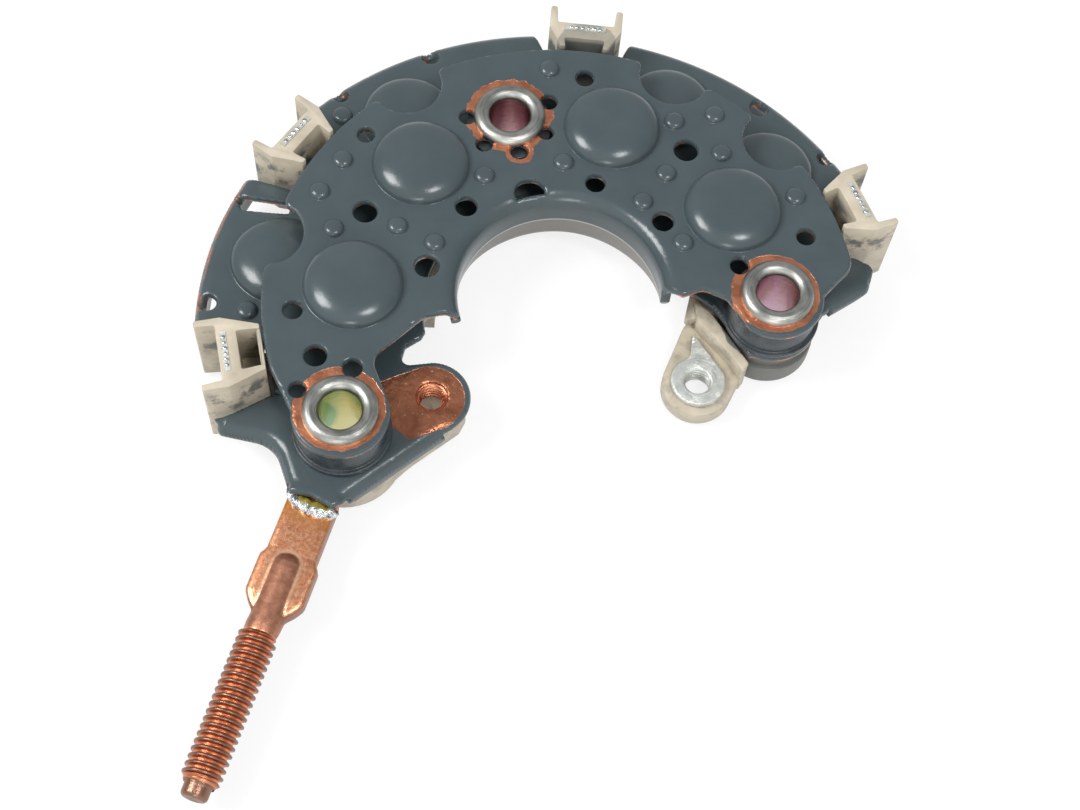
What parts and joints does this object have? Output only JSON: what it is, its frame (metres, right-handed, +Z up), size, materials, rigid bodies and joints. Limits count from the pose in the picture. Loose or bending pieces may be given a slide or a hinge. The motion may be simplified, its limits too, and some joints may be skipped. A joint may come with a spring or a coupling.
{
  "type": "alternator rectifier",
  "caption": "horseshoe shaped alternator rectifier with two stacked domed copper heat sink plates, a cream plastic holder with wire guides, and a threaded copper output stud",
  "frame": {"origin": "Centre of the part's box in X and Y, at the height of the underside of the rivet collars that the part rests on.", "axes": "Z points up out of the domed faces of the plates. Y points from the open end of the horseshoe and the stud to its closed back. X points from the leg with the stud to the leg with the lug."},
  "size_m": [0.1138, 0.143, 0.0196],
  "materials": {
    "paint": "blue grey satin paint over copper sheet, worn bright at the edges and bare round the rivets and on the tongue",
    "stud_copper": "bare copper, bright orange on the rolled thread and brown by heat on the blade",
    "rivet_steel": "plated steel, grey and slightly dull, with coloured passivation in the bores",
    "tin": "dull silver tin plating with solder drops and dried flux",
    "cream_plastic": "cream glass filled moulding with grey paint overspray",
    "bush": "dark grey insulating bush, lightly glossy",
    "potting": "dark potting compound round the diode chip, hidden under the domes",
    "solder": "bright silver solder, smooth and rounded"
  },
  "bodies": {
    "root": {"upper_plate": "paint", "lower_plate": "paint", "terminal_holder": "cream_plastic", "rivet_left": "rivet_steel", "rivet_back": "rivet_steel", "rivet_right": "rivet_steel", "spacer_left": "bush", "spacer_back": "bush", "spacer_right": "bush", "diode_upper_1": "potting", "diode_upper_2": "potting", "diode_upper_3": "potting", "diode_upper_4": "potting", "diode_lower_1": "potting", "diode_lower_2": "potting", "diode_lower_3": "potting", "diode_lower_4": "potting", "phase_terminal_left": "tin", "phase_terminal_upper_left": "tin", "phase_terminal_top": "tin", "phase_terminal_right": "tin", "lug_terminal": "tin", "output_stud": "stud_copper", "stud_solder": "solder"}
  },
  "joints": []
}
